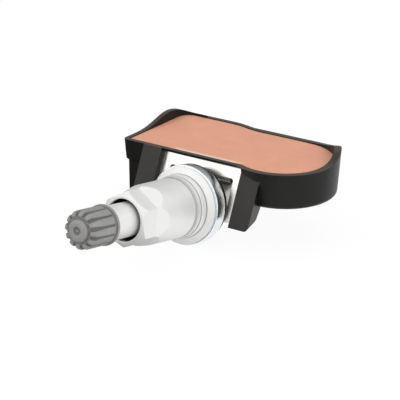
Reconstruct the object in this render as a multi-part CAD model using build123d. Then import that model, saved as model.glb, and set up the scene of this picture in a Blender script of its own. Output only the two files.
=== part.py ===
from build123d import *
import math
import os

# Clamp-in tyre pressure sensor with a swivelling metal valve.
# Millimetres. +Z is up out of the potted face, +X runs along the housing towards the battery,
# and the valve leaves the front of the housing towards -Y.
# The origin is the rim seat: the centre of the grommet's sealing face, on the valve's axis.

# Angles, in degrees
valve_tilt = 10.0            # the valve's rise from level towards the cap
bracket_lean = 24.5          # the bracket's lean, its foot towards the valve
wall_draft = 4.0             # the housing's outer walls, wider towards the top
post_draft = 15.0            # the right post's outer side
nut_runout_angle = 21.0      # the slope behind each of the nut's flats
tongue_end_angle = 35.0      # how far the tongue runs on below the bracket's normal
right_ear_direction = 32.0   # the right ear's middle, round the lobe from +X

# Gaps
running_gap = 0.05           # round a piece that turns or slides in another
face_gap = 0.05              # between flat faces of pieces that move apart
seat_gap = 0.03              # round a piece that is pushed on and stays

# Valve core, from the pin outwards
pin_radius = 0.6
pin_sink = 0.4               # the pin's tip below the valve's mouth
pin_collar_overhang = 0.6
pin_collar_thickness = 0.5
pin_collar_drop = 0.2        # the collar below the core's top
pin_head_overhang = 0.4
pin_head_thickness = 0.5
pin_travel = 1.0
plunger_overhang = 1.0       # the plunger seal beyond the pin
plunger_thickness = 1.25
core_bore_gap = 0.25         # round the pin
spring_wire = 0.3
spring_side_gap = 0.25       # between the coil and the wall of its chamber
spring_inner_gap = 0.35      # between the coil and the pin
spring_turns = 3.5
spring_chamber_depth = 3.0
core_neck_wall = 0.65
core_barrel_wall = 1.05
core_sink = 1.2              # the core's head below the mouth
core_head_length = 3.2
core_neck_length = 2.6
core_barrel_length = 6.0
core_chamber_gap = 0.2
core_chamber_spare = 1.2     # below the pin's lowest place
core_thread_step = 0.65      # from the chamber up to the core's thread
core_thread_spare = 0.1
core_cone_length = 1.0

# Valve stem
stem_reach = 43.3            # from the rim seat to the valve's mouth
cap_thread_wall = 1.1        # round the core's thread
cap_thread_spare = 0.3       # thread left bare under the cap's open end
barrel_step = 0.3
collar_thread_step = 0.75
collar_thread_end = 18.0
mouth_chamfer = 0.5
shoulder_step = 0.3
shoulder_thickness = 1.0
neck_radius = 4.0
pivot_reach = 8.5            # from the rim seat back to the swivel's axis
foot_radius = 5.0            # the barrel-shaped foot that swivels in the bracket
foot_width = 12.4
air_passage_radius = 1.3
cross_hole_radius = 1.2
cross_hole_setback = 1.7     # behind the shoulder's back face

# Rim seat: grommet and washer
grommet_radius = 9.4
grommet_thickness = 1.6
grommet_skirt = 0.4          # how far its rim runs on back, round the stem's shoulder
grommet_chamfer = 0.5
grommet_sleeve = 0.7         # the neck's wall in the wheel's valve hole
grommet_neck_length = 3.0
rim_hole_gap = 0.15          # round the neck
washer_radius = 10.1
washer_thickness = 3.5
washer_edge = 0.3

# Collar nut
nut_length = 24.8
nut_flange_radius = 9.6
nut_flange_edge = 0.35
nut_cone_length = 1.1        # the sloped face in front of the flange
nut_ring_radius = 7.98
nut_ring_length = 2.15
nut_neck_length = 1.7        # from the ring down to the barrel
nut_neck_radius = 7.47
nut_barrel_radius = 7.32     # at the hexagon's end
nut_across_flats = 12.0
nut_flat_length = 5.2        # from the front face to the end of the flats
nut_nose_length = 1.65
nut_nose_land = 0.48
nut_mouth_step = 0.17
nut_mouth_depth = 2.0

# Valve cap
cap_skirt = 7.6              # from the valve's mouth to the cap's open end
cap_wall = 0.35
cap_flange_width = 0.62
cap_flange_length = 0.7
cap_groove_length = 0.35     # between the flange and the ribs' ends
cap_seal_thickness = 0.6
cap_roof = 0.7               # over the seal, at the foot of the boss
cap_shoulder = 0.8           # the slope from the cap's side to its end
cap_boss_radius = 2.75
cap_boss_height = 1.0
cap_dimple_radius = 0.9
cap_dimple_depth = 0.4
rib_count = 12
rib_radius = 0.6
rib_stand = 0.35             # how far the ribs stand out of the body

# Housing
potting_level = 10.6
rim_lip = 0.25               # the rim above the potting
wall = 1.25
floor_bottom = 1.6
floor_thickness = 1.2
rim_left = -24.5
rim_front = 4.9
rim_chamfer = 0.6
rim_corner = 4.0
lobe_x = 16.5
lobe_radius = 13.55
lobe_bulge = 1.65            # how far the lobe stands in front of the rim's straight front
lobe_edge = 1.2
flare_start = 2.0            # where the back of the rim band comes out of the lobe's wall
flare_sink = 0.3             # how deep it starts in the wall
flare_length = 11.0
flare_step = 1.25
band_bottom = 5.6
band_overhang = 0.7
band_wall = 0.85             # at the band's foot
band_chamfer = 0.7
left_ear_height = 2.3
left_ear_setback = 7.0       # the peak in front of the back wall
left_ear_run = 14.5          # from the ear's front end to its peak
left_ear_width = 7.9
right_ear_height = 2.5
right_ear_half_width = 12.0
post_inner = 12.2
post_width = 5.65
foot_level = -3.0
foot_corner = 1.3
right_foot_back = 3.2
left_foot_back = 9.0
gusset_run = 5.3
lip_thickness = 1.1
shelf_wall = 0.2             # over the bracket's top edge
pocket_gap = 0.3
pocket_wall = 1.0
port_radius = 0.75
port_x = -16.0
port_y = 22.0

# Bracket
post_crossing = 0.70         # where the posts' front plane crosses the valve's axis
plate_setback = 1.7          # the plate behind the posts' front plane
plate_thickness = 1.0
plate_groove = 1.4           # how deep the plate sits in the posts
plate_bite = 0.17            # and in the lip above it
plate_bottom = -2.5          # from the valve's axis, along the plate
plate_corner = 1.5
window_gap = 0.15            # beside the grommet
window_top = 8.1             # above the valve's axis, along the plate
window_corner = 0.8
tongue_half_width = 8.4
tongue_bend = 0.9
screw_slot_gap = 0.25        # beside the screw
screw_slot_length = 6.4

# Clamp screw
screw_radius = 1.95
screw_head_radius = 3.4
screw_head_height = 2.6
screw_head_edge = 0.4
screw_socket = 2.5
screw_socket_depth = 1.5
screw_hole_depth = 6.5       # into the foot, from its back
saddle_thickness = 1.0

# Electronics
board_bottom = 6.4
board_thickness = 1.0
board_gap = 0.55             # to the walls
board_front_gap = 4.6        # to the leaning front wall
board_cell_gap = 5.2
board_corner = 2.0
cell_radius = 8.0
cell_thickness = 3.2
cell_edge = 0.5
cell_gap = 0.3               # to the wall round the valve's foot
cell_setback = 0.8           # behind the middle of the lobe
tab_thickness = 0.3
tab_width = 4.0
tab_spread = 3.0             # each tab's middle to the side of the cell's
tab_overlap = 5.0            # how far each tab reaches over the cell's face
tab_pad = 2.0                # how far each tab reaches over the board
tab_clearance = 0.8          # between the tabs' risers, and between the first and the board
chip_size = 5.0
chip_height = 1.6
chip_port_depth = 0.8
gasket_wall = 1.25
coil_x = -15.0
coil_y = 15.5
coil_length = 8.0
coil_width = 3.4
coil_height = 2.4
coil_flange = 1.0
coil_bar_inset = 0.55        # the bar inside the flanges' edge
coil_winding_inset = 0.2
antenna_wire = 0.8
antenna_height = 2.2
antenna_margin = 2.0         # to the board's edges
antenna_bend = 1.2
crystal_length = 3.2
crystal_width = 2.5
crystal_height = 0.8
crystal_x = -7.0
crystal_y = 23.0
capacitor_length = 2.0
capacitor_width = 1.25
capacitor_height = 0.9
capacitor_gap = 0.6          # between neighbours, and to the coil
capacitor_count = 4

# Worked-out places: the valve's axis, the posts' leaning front plane, and the swivel's axis
tilt = math.radians(valve_tilt)
lean = math.radians(bracket_lean)
valve = Plane((0, 0, 0), x_dir=(1, 0, 0), z_dir=(0, -math.cos(tilt), math.sin(tilt)))
pivot = valve.from_local_coords((0, 0, -pivot_reach))
posts = Plane(valve.from_local_coords((0, 0, post_crossing)), x_dir=(1, 0, 0),
              z_dir=(0, -math.cos(lean), math.sin(lean)))
side = Plane(pivot, x_dir=(0, math.cos(lean), -math.sin(lean)), z_dir=(1, 0, 0))
pivot_up = posts.to_local_coords(pivot).Y
pivot_back = -posts.to_local_coords(pivot).Z

# Worked-out sizes of the valve
core_bore = pin_radius + core_bore_gap
spring_inner = pin_radius + spring_inner_gap
spring_radius = spring_inner + spring_wire / 2
spring_chamber = spring_inner + spring_wire + spring_side_gap
core_neck = core_bore + core_neck_wall
core_barrel = core_bore + core_barrel_wall
core_chamber = core_barrel + core_chamber_gap
core_thread = core_chamber + core_thread_step
cap_thread = core_thread + cap_thread_wall
barrel_radius = cap_thread + barrel_step
collar_thread = barrel_radius + collar_thread_step
shoulder_radius = collar_thread + shoulder_step
collar_bore = collar_thread + running_gap
grommet_neck = collar_thread + seat_gap + grommet_sleeve
rim_hole = grommet_neck + rim_hole_gap
core_top = stem_reach - core_sink
core_neck_top = core_top - core_head_length
core_barrel_top = core_neck_top - core_neck_length
core_bottom = core_barrel_top - core_barrel_length
pin_collar_top = core_top - pin_collar_drop
plunger_top = core_bottom - face_gap
plunger_bottom = plunger_top - plunger_thickness
pin_bottom = plunger_bottom - pin_head_thickness
core_thread_end = core_neck_top - core_thread_spare
core_cone_end = core_thread_end - core_cone_length
core_chamber_end = pin_bottom - pin_travel - core_chamber_spare
nut_back = washer_thickness + 2 * face_gap
nut_front = nut_back + nut_length
cap_bore = cap_thread + running_gap
cap_base = stem_reach - cap_skirt
cap_ceiling = stem_reach + cap_seal_thickness + 2 * face_gap

# Worked-out sizes of the housing and bracket
rim_top = potting_level + rim_lip
floor_top = floor_bottom + floor_thickness
lip_bottom = rim_top - lip_thickness
wall_left = rim_left + band_overhang
wall_front = rim_front + band_overhang
lobe_y = rim_front + lobe_radius - lobe_bulge
lobe_back = lobe_y + lobe_radius
rim_back = lobe_back + flare_step
post_outer = post_inner + post_width
plate_back = plate_setback + plate_thickness
plate_half_width = post_inner + plate_groove
axis_drop = plate_setback * math.tan(lean - tilt)
bay_upper = (lip_bottom - posts.origin.Z + plate_setback * math.sin(lean)) / math.cos(lean)
plate_upper = bay_upper + plate_bite
plate_lower = plate_bottom + axis_drop
window_edge = window_top + axis_drop
window_half_width = grommet_radius + window_gap
tongue_inner = foot_radius + running_gap
tongue_outer = tongue_inner + plate_thickness
pocket_half_width = tongue_half_width + pocket_gap
shelf_level = lip_bottom + plate_bite + shelf_wall

# Worked-out places of the electronics
cell_x = pocket_half_width + pocket_wall + cell_gap + cell_radius
cell_y = lobe_y + cell_setback
cell_bottom = floor_top + tab_thickness
cell_top = cell_bottom + cell_thickness
board_top = board_bottom + board_thickness
board_left = wall_left + wall + board_gap
board_right = cell_x - cell_radius - board_cell_gap
board_back = lobe_back - wall - board_gap
board_front = posts.origin.Y + (board_top - posts.origin.Z) * math.tan(lean) + (
    plate_back + running_gap + wall) / math.cos(lean) + board_front_gap
big = 120.0                                # larger than anything it cuts


def turned(corners):
    """A solid of revolution about Z from (radius, height) corners."""
    return revolve(Plane.XZ * make_face(Polyline(*corners, close=True)), Axis.Z)


def on_valve(shape):
    """Place a shape drawn about Z on the valve's axis, with Z towards the cap."""
    return valve.location * shape


def leaning_block(half_width, lower, upper, behind, front=-big):
    """A block in the bracket's leaning frame, by its distance behind the posts' front plane."""
    block = Box(2 * half_width, upper - lower, behind - front)
    return posts.location * Pos(0, (upper + lower) / 2, -(behind + front) / 2) * block


def below(level):
    """Everything under a level."""
    return Pos(0, 0, level - big / 2) * Box(2 * big, 2 * big, big)


def front_plane_y(level):
    """Where the posts' front plane stands at a level."""
    return posts.origin.Y + (level - posts.origin.Z) * math.tan(lean)


def band_outline():
    """The outline of the rim band, seen from above. It ends inside the lobe."""
    inside = lobe_back - flare_sink
    flare_end = flare_start - flare_length
    flare_middle = ((flare_start + flare_end) / 2, (inside + rim_back) / 2)
    first_curve = TangentArc((flare_start, inside), flare_middle, tangent=(-1, 0))
    second_curve = TangentArc(flare_middle, (flare_end, rim_back), tangent=first_curve % 1)
    return make_face([
        Line((rim_left + rim_chamfer, rim_front), (lobe_x, rim_front)),
        Line((lobe_x, rim_front), (lobe_x, inside)),
        Line((lobe_x, inside), (flare_start, inside)),
        first_curve,
        second_curve,
        Line((flare_end, rim_back), (rim_left + rim_corner, rim_back)),
        TangentArc((rim_left + rim_corner, rim_back), (rim_left, rim_back - rim_corner), tangent=(-1, 0)),
        Line((rim_left, rim_back - rim_corner), (rim_left, rim_front + rim_chamfer)),
        Line((rim_left, rim_front + rim_chamfer), (rim_left + rim_chamfer, rim_front)),
    ])


def wall_outline():
    """The outline of the tub's wall, at the foot of the rim band."""
    join_x = lobe_x - math.sqrt(lobe_radius ** 2 - (lobe_y - wall_front) ** 2)
    return make_face([
        Line((wall_left, wall_front), (join_x, wall_front)),
        ThreePointArc((join_x, wall_front), (lobe_x + lobe_radius, lobe_y), (lobe_x, lobe_back)),
        Line((lobe_x, lobe_back), (wall_left + rim_corner, lobe_back)),
        TangentArc((wall_left + rim_corner, lobe_back), (wall_left, lobe_back - rim_corner), tangent=(-1, 0)),
        Line((wall_left, lobe_back - rim_corner), (wall_left, wall_front)),
    ])


def risen(face, bottom, top):
    """An outline extruded between two levels."""
    return Pos(0, 0, bottom) * extrude(face, top - bottom)


def above(edge, start, end):
    """The region above an ear's edge, which starts and ends at the rim's level."""
    frame = Polyline((end, rim_top), (big, rim_top), (big, big), (-big, big), (-big, rim_top), (start, rim_top))
    return make_face([edge, *frame.edges()])


def ear_trim():
    """What is cut off above the rim: all of it but an ear that rises at each end."""
    flat = Pos(0, 0, rim_top + big / 2) * Box(2 * big, 2 * big, big)
    peak = rim_back - left_ear_setback
    start = peak - left_ear_run
    left_edge = Spline((start, rim_top), (peak, rim_top + left_ear_height), (rim_back, rim_top),
                       tangents=[(1, 0), (1, -0.7)])
    left_zone = Pos(rim_left + left_ear_width, 0, 0) * extrude(Plane.YZ * above(left_edge, start, rim_back), -big)
    span = right_ear_half_width
    right_edge = Spline((-span, rim_top), (0, rim_top + right_ear_height), (span, rim_top),
                        tangents=[(1, 0), (1, 0)])
    right_zone = extrude(Plane.YZ * above(right_edge, -span, span), big)
    right_place = Pos(lobe_x, lobe_y, 0) * Rot(0, 0, right_ear_direction)
    left_space = Pos(rim_left + left_ear_width - big / 2, 0, 0) * Box(big, 2 * big, 2 * big)
    right_space = right_place * Pos(big / 2, 0, 0) * Box(big, 2 * big, 2 * big)
    return flat - left_space - right_space + left_zone + right_place * right_zone


def leg(inner, outer, front, foot_back, top):
    """A leg of the housing between two widths: a foot, and a gusset up to the floor behind it."""
    root = floor_bottom + floor_thickness / 2
    corners = [(front(top), top), (front(foot_level), foot_level), (foot_back, foot_level),
               (foot_back + gusset_run, root), (foot_back + gusset_run, top)]
    profile = Plane.YZ * make_face(Polyline(*corners, close=True))
    return Pos(inner, 0, 0) * extrude(profile, outer - inner)


def right_leg():
    """The leg beside the battery lobe: its outer side spreads back towards the lobe."""
    block = leg(post_inner, post_inner + 2 * post_width, front_plane_y, right_foot_back, rim_top)
    flank = posts.location * Pos(post_outer, 0, 0) * Rot(0, post_draft, 0) * Pos(big / 2, 0, 0) * Box(big, big, big)
    block -= flank
    return fillet(block.edges().group_by(Axis.Z)[0].sort_by(Axis.X)[-1], foot_corner)


def left_leg():
    """The post at the plain end, and the recessed foot beside it."""
    post = leg(-post_outer, -post_inner, front_plane_y, left_foot_back, rim_top)
    recess = leg(wall_left, -post_outer, lambda level: wall_front, left_foot_back, band_bottom)
    return post + recess


def pocket(gap):
    """The space behind the bracket for its tongue and the valve's foot, grown by a gap."""
    reach = tongue_outer + gap
    plate_at = plate_back - pivot_back
    profile = make_face(Polyline((plate_at, -big), (plate_at, reach), (0, reach), (0, -big), close=True))
    profile += Circle(reach)
    return extrude(side * profile, tongue_half_width + gap, both=True)


def housing_cavity():
    """The inside of the tub, less the leaning front wall and the roof over the valve's foot."""
    tub = risen(offset(wall_outline(), -wall), floor_top, rim_top + big)
    band = risen(offset(band_outline(), -band_wall), band_bottom + wall, rim_top + big)
    front_wall = leaning_block(plate_half_width + running_gap + wall, -big / 2, big / 2,
                               plate_back + running_gap + wall)
    return tub + band - (front_wall & below(shelf_level)) - pocket(pocket_gap + pocket_wall)


def build_housing(cavity):
    """The black tub: lobe for the battery, rim band with two ears, and two legs round the bracket."""
    band_start = band_bottom - band_chamfer
    depth = band_start - floor_bottom
    ear_top = rim_top + 2 * max(left_ear_height, right_ear_height)
    tub_floor = offset(wall_outline(), -depth * math.tan(math.radians(wall_draft)))
    tub = Pos(0, 0, floor_bottom) * extrude(tub_floor, ear_top - floor_bottom, taper=-wall_draft)
    tub = fillet(tub.edges().group_by(Axis.Z)[0], lobe_edge)
    band = Pos(0, 0, band_start) * extrude(band_outline(), ear_top - band_start, taper=-wall_draft)
    band = chamfer(band.edges().group_by(Axis.Z)[0], band_chamfer)
    body = tub + band + right_leg() + left_leg()
    bay = leaning_block(post_inner, -big / 2, bay_upper, plate_setback)
    slot = leaning_block(plate_half_width + running_gap, -big / 2, plate_upper + running_gap,
                         plate_back + running_gap, plate_setback - running_gap)
    port = Pos(port_x, port_y, floor_bottom) * Cylinder(port_radius, 4 * floor_thickness)
    return body - cavity - bay - slot - port - ear_trim() - pocket(pocket_gap)


def build_bracket():
    """One plated pressing: a leaning plate with a window, and a tongue curled behind the foot."""
    plate = leaning_block(plate_half_width, plate_lower, plate_upper, plate_back, plate_setback)
    top_corners = plate.edges().filter_by(lambda e: abs(e.tangent_at(0).dot(posts.z_dir)) > 0.99)
    top_corners = top_corners.sort_by(Axis.Z)[-2:]
    plate = chamfer(top_corners, plate_corner)
    window = leaning_block(window_half_width, -big / 2, window_edge, 2 * plate_back, 0)
    window_corners = window.edges().filter_by(lambda e: abs(e.tangent_at(0).dot(posts.z_dir)) > 0.99)
    window = fillet(window_corners.sort_by(Axis.Z)[-2:], window_corner)
    mid = (tongue_inner + tongue_outer) / 2
    plate_mid = plate_setback + plate_thickness / 2 - pivot_back
    run = FilletPolyline((plate_mid, window_edge - pivot_up + plate_thickness), (plate_mid, mid), (0, mid),
                         radius=tongue_bend)
    curl = CenterArc((0, 0), mid, 90, -90 - tongue_end_angle)
    tongue = extrude(side * trace([*run.edges(), curl], plate_thickness), tongue_half_width, both=True)
    slot = Rot(0, 0, 90) * SlotOverall(screw_slot_length, 2 * (screw_radius + screw_slot_gap))
    tongue -= on_valve(Pos(0, 0, -pivot_reach) * extrude(slot, -2 * tongue_outer))
    return plate - window + tongue


def build_stem():
    """The turned valve stem: threaded barrel, shoulder, and the barrel foot it swivels on."""
    shoulder_front = -grommet_thickness
    shoulder_back = shoulder_front - shoulder_thickness
    thread_start = cap_base - cap_thread_spare
    stem = turned([
        (0, -pivot_reach), (neck_radius, -pivot_reach), (neck_radius, shoulder_back),
        (shoulder_radius, shoulder_back), (shoulder_radius, shoulder_front), (collar_thread, shoulder_front),
        (collar_thread, collar_thread_end), (barrel_radius, collar_thread_end + collar_thread_step),
        (barrel_radius, thread_start - barrel_step), (cap_thread, thread_start),
        (cap_thread, stem_reach - mouth_chamfer), (cap_thread - mouth_chamfer, stem_reach), (0, stem_reach)])
    stem += Pos(0, 0, -pivot_reach) * Rot(0, 90, 0) * Cylinder(foot_radius, foot_width)
    cross_hole_at = shoulder_back - cross_hole_setback
    stem -= turned([
        (0, cross_hole_at), (air_passage_radius, cross_hole_at),
        (air_passage_radius, core_chamber_end - core_cone_length), (core_chamber, core_chamber_end),
        (core_chamber, core_cone_end), (core_thread, core_thread_end), (core_thread, stem_reach), (0, stem_reach)])
    stem -= Pos(0, 0, cross_hole_at) * Rot(0, 90, 0) * Cylinder(cross_hole_radius, 4 * neck_radius)
    hole = Cylinder(screw_radius + seat_gap, 2 * screw_hole_depth)
    stem -= Pos(0, 0, -pivot_reach - foot_radius) * hole
    return on_valve(stem)


def build_grommet():
    """The rubber seal: a ring against the rim's inside, and a neck in the rim's hole."""
    bore = collar_thread + seat_gap
    hollow = shoulder_radius + seat_gap
    back = -grommet_thickness - grommet_skirt
    return on_valve(turned([
        (bore, -grommet_thickness), (hollow, -grommet_thickness), (hollow, back),
        (grommet_radius - grommet_chamfer, back), (grommet_radius, back + grommet_chamfer), (grommet_radius, 0),
        (grommet_neck, 0), (grommet_neck, grommet_neck_length), (bore, grommet_neck_length)]))


def build_washer():
    """The chromed thrust washer under the collar nut."""
    back = face_gap
    front = face_gap + washer_thickness
    inset = washer_radius - washer_edge
    return on_valve(turned([
        (rim_hole, back), (inset, back), (washer_radius, back + washer_edge), (washer_radius, front - washer_edge),
        (inset, front), (rim_hole, front)]))


def build_nut():
    """The collar nut: flange, stepped ring, barrel and a milled hexagon with sloped run-outs."""
    ring_start = nut_back + nut_flange_edge + nut_cone_length
    ring_end = ring_start + nut_ring_length
    neck_end = ring_end + nut_neck_length
    flat_end = nut_front - nut_flat_length
    nut_mouth = collar_bore + nut_mouth_step
    nut = turned([
        (collar_bore, nut_back), (nut_flange_radius - nut_flange_edge, nut_back),
        (nut_flange_radius, nut_back + nut_flange_edge), (nut_ring_radius, ring_start),
        (nut_ring_radius, ring_end), (nut_neck_radius, neck_end), (nut_barrel_radius, flat_end),
        (nut_barrel_radius, nut_front - nut_nose_length), (nut_mouth + nut_nose_land, nut_front),
        (nut_mouth, nut_front), (nut_mouth, nut_front - nut_mouth_depth),
        (collar_bore, nut_front - nut_mouth_depth)])
    apothem = nut_across_flats / 2
    rise = 2 * (nut_barrel_radius - apothem)
    run = rise / math.tan(math.radians(nut_runout_angle))
    milled = make_face(Polyline((apothem, nut_front + 1), (apothem, flat_end), (apothem + rise, flat_end - run),
                                (2 * nut_barrel_radius, flat_end - run), (2 * nut_barrel_radius, nut_front + 1),
                                close=True))
    cutter = extrude(Plane.YZ * milled, nut_across_flats, both=True)
    for flat in range(6):
        nut -= Rot(0, 0, 30 + 60 * flat) * cutter
    return on_valve(nut)


def build_core_body():
    """The brass valve core's body: threaded head with a spring chamber, neck and barrel."""
    head = core_thread - running_gap
    chamber_bottom = core_top - spring_chamber_depth
    return on_valve(turned([
        (spring_chamber, core_top), (head, core_top), (head, core_neck_top), (core_neck, core_neck_top),
        (core_neck, core_barrel_top), (core_barrel, core_barrel_top), (core_barrel, core_bottom),
        (core_bore, core_bottom), (core_bore, chamber_bottom), (spring_chamber, chamber_bottom)]))


def build_core_gasket():
    """The tapered seal round the core's neck."""
    bore = core_neck + seat_gap
    bottom = core_barrel_top + face_gap
    top = core_neck_top - core_thread_spare
    return on_valve(turned([
        (bore, bottom), (core_chamber - seat_gap, bottom), (core_chamber - seat_gap, core_cone_end),
        (core_thread - 2 * seat_gap, top), (bore, top)]))


def build_core_pin():
    """The valve pin: a tip to press, a collar on the spring and a head under the plunger."""
    tip = stem_reach - pin_sink
    collar = pin_radius + pin_collar_overhang
    collar_bottom = pin_collar_top - pin_collar_thickness
    head = pin_radius + pin_head_overhang
    return on_valve(turned([
        (0, tip), (pin_radius, tip), (pin_radius, pin_collar_top), (collar, pin_collar_top),
        (collar, collar_bottom), (pin_radius, collar_bottom), (pin_radius, plunger_bottom),
        (head, plunger_bottom), (head, pin_bottom), (0, pin_bottom)]))


def build_plunger_seal():
    """The rubber washer that closes the core's lower end."""
    bore = pin_radius + seat_gap
    rim = pin_radius + plunger_overhang
    return on_valve(turned([(bore, plunger_top), (rim, plunger_top), (rim, plunger_bottom), (bore, plunger_bottom)]))


def build_core_spring():
    """The coil spring under the pin's collar."""
    top = pin_collar_top - pin_collar_thickness - face_gap - spring_wire / 2
    bottom = core_top - spring_chamber_depth + face_gap + spring_wire / 2
    coil = Helix((top - bottom) / spring_turns, top - bottom, spring_radius)
    wire = Plane(coil @ 0, z_dir=coil % 0) * RegularPolygon(spring_wire / 2, 6)
    return on_valve(Pos(0, 0, bottom) * sweep(wire, coil, is_frenet=True))


def build_cap():
    """The ribbed valve cap: open skirt with a thin flange, ribs that turn in over the end, and a boss."""
    body = cap_bore + cap_wall
    flange = body + cap_flange_width
    crown = cap_ceiling + cap_roof
    shoulder = crown - cap_shoulder
    boss_top = crown + cap_boss_height
    boss_round = cap_boss_height / 2
    rib_bottom = cap_base + cap_flange_length + cap_groove_length
    cap = turned([
        (0, cap_ceiling), (cap_bore, cap_ceiling), (cap_bore, cap_base), (flange, cap_base),
        (flange, cap_base + cap_flange_length), (body, cap_base + cap_flange_length),
        (body, shoulder), (cap_boss_radius, crown), (cap_boss_radius, boss_top - boss_round),
        (cap_boss_radius - boss_round, boss_top), (cap_dimple_radius, boss_top),
        (cap_dimple_radius - cap_dimple_depth, boss_top - cap_dimple_depth), (0, boss_top - cap_dimple_depth)])
    rib_centre = body + rib_stand - rib_radius
    rib_length = shoulder - rib_bottom
    rib = Cylinder(rib_radius, rib_length, align=(Align.CENTER, Align.CENTER, Align.MIN))
    turn_in = Pos(0, 0, rib_length) * Rot(0, -60, 0) * Cylinder(
        rib_radius, rib_centre - cap_boss_radius, align=(Align.CENTER, Align.CENTER, Align.MIN))
    rib = rib + Pos(0, 0, rib_length) * Sphere(rib_radius) + turn_in
    ribs = PolarLocations(rib_centre, rib_count) * (Pos(0, 0, rib_bottom) * rib)
    hollow = Pos(0, 0, cap_base) * Cylinder(
        cap_bore, cap_ceiling - cap_base, align=(Align.CENTER, Align.CENTER, Align.MIN))
    return on_valve(cap + ribs - hollow)


def build_cap_seal():
    """The rubber disc inside the cap."""
    seal = Cylinder(cap_bore - running_gap, cap_seal_thickness, align=(Align.CENTER, Align.CENTER, Align.MIN))
    return on_valve(Pos(0, 0, stem_reach + face_gap) * seal)


def build_saddle():
    """The washer with a hollowed face that lets the screw's head follow the tongue's curve."""
    back = tongue_outer + saddle_thickness
    block = Cylinder(screw_head_radius, back, align=(Align.CENTER, Align.CENTER, Align.MAX))
    block -= Cylinder(screw_radius + seat_gap, 4 * back)
    block -= Rot(0, 90, 0) * Cylinder(tongue_outer + running_gap, 4 * back)
    return on_valve(Pos(0, 0, -pivot_reach) * block)


def build_screw():
    """The clamp screw through the tongue's slot into the valve's foot."""
    head_front = -tongue_outer - saddle_thickness
    head = Pos(0, 0, head_front) * Cylinder(
        screw_head_radius, screw_head_height, align=(Align.CENTER, Align.CENTER, Align.MAX))
    head = chamfer(head.edges().sort_by(Axis.Z)[0], screw_head_edge)
    tip = screw_hole_depth - foot_radius - face_gap
    shank = Pos(0, 0, head_front) * Cylinder(
        screw_radius, tip - head_front, align=(Align.CENTER, Align.CENTER, Align.MIN))
    socket = Pos(0, 0, head_front - screw_head_height) * extrude(
        RegularPolygon(screw_socket / 2, 6, major_radius=False), screw_socket_depth)
    return on_valve(Pos(0, 0, -pivot_reach) * (head + shank - socket))


def build_board():
    """The circuit board."""
    width = board_right - board_left
    depth = board_back - board_front
    outline = RectangleRounded(width, depth, board_corner)
    return Pos((board_left + board_right) / 2, (board_front + board_back) / 2, board_bottom) * extrude(
        outline, board_thickness)


def build_cell():
    """The coin cell."""
    can = Pos(cell_x, cell_y, cell_bottom) * Cylinder(
        cell_radius, cell_thickness, align=(Align.CENTER, Align.CENTER, Align.MIN))
    return chamfer(can.edges().filter_by(GeomType.CIRCLE), cell_edge)


def bent_strip(points, y):
    """A battery tab: a strip bent along points in the XZ plane."""
    lines = Polyline(*points)
    strip = extrude(Plane.XZ * trace(lines, tab_thickness), tab_width / 2, both=True)
    return Pos(0, y, 0) * strip


def build_tabs():
    """The battery tabs from the cell's two faces to the board."""
    reach = cell_x - cell_radius + tab_overlap
    pad = board_right - tab_pad
    half = tab_thickness / 2
    top_x = board_right + tab_clearance
    top = bent_strip([(reach, cell_top + half), (top_x, cell_top + half), (top_x, board_top + half),
                      (pad, board_top + half)], cell_y - tab_spread)
    bottom_x = top_x + tab_thickness + tab_clearance
    bottom = bent_strip([(reach, floor_top + half), (bottom_x, floor_top + half),
                         (bottom_x, board_bottom - half), (pad, board_bottom - half)], cell_y + tab_spread)
    return top, bottom


def build_chip():
    """The sensor chip under the board, with its pressure port facing the floor."""
    block = Pos(port_x, port_y, board_bottom) * Box(
        chip_size, chip_size, chip_height, align=(Align.CENTER, Align.CENTER, Align.MAX))
    port = Pos(port_x, port_y, board_bottom - chip_height) * Cylinder(port_radius, 2 * chip_port_depth)
    return block - port


def build_port_gasket():
    """The sleeve that keeps the potting out of the air port."""
    height = board_bottom - chip_height - floor_top
    sleeve = Cylinder(port_radius + gasket_wall, height, align=(Align.CENTER, Align.CENTER, Align.MIN))
    return Pos(port_x, port_y, floor_top) * (sleeve - Cylinder(port_radius, 4 * height))


def build_coil():
    """The wake-up coil: a ferrite core with two flanges, and the winding between them."""
    place = Pos(coil_x, coil_y, board_top + coil_height / 2)
    bar = Box(coil_length, coil_width - 2 * coil_bar_inset, coil_height - 2 * coil_bar_inset)
    flange = Box(coil_flange, coil_width, coil_height)
    flange_x = (coil_length - coil_flange) / 2
    core = bar + Pos(-flange_x, 0, 0) * flange + Pos(flange_x, 0, 0) * flange
    winding = Box(coil_length - 2 * coil_flange, coil_width - 2 * coil_winding_inset,
                  coil_height - 2 * coil_winding_inset) - bar
    return place * core, place * winding


def build_antenna():
    """The transmitter's wire bow over the board."""
    top = board_top + antenna_height
    left = board_left + antenna_margin
    right = board_right - antenna_margin
    y = board_back - antenna_margin
    path = FilletPolyline((left, y, board_top), (left, y, top), (right, y, top), (right, y, board_top),
                          radius=antenna_bend)
    return sweep(Pos(left, y, board_top) * Circle(antenna_wire / 2), path)


def on_board(x, y, length, width, height):
    """A component standing on the board."""
    return Pos(x, y, board_top) * Box(length, width, height, align=(Align.CENTER, Align.CENTER, Align.MIN))


def build_capacitors():
    """A row of capacitors in line with the coil."""
    pitch = capacitor_length + capacitor_gap
    first = coil_x + coil_length / 2 + capacitor_gap + capacitor_length / 2
    return Part() + [on_board(first + i * pitch, coil_y, capacitor_length, capacitor_width, capacitor_height)
                     for i in range(capacitor_count)]


def build_potting(cavity, embedded):
    """The potting compound: the tub's inside up to its level, round everything it holds."""
    block = cavity & below(potting_level)
    for piece in embedded:
        block -= piece
    port_space = Cylinder(port_radius, board_bottom - floor_top, align=(Align.CENTER, Align.CENTER, Align.MIN))
    return block - Pos(port_x, port_y, floor_top) * port_space


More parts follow.
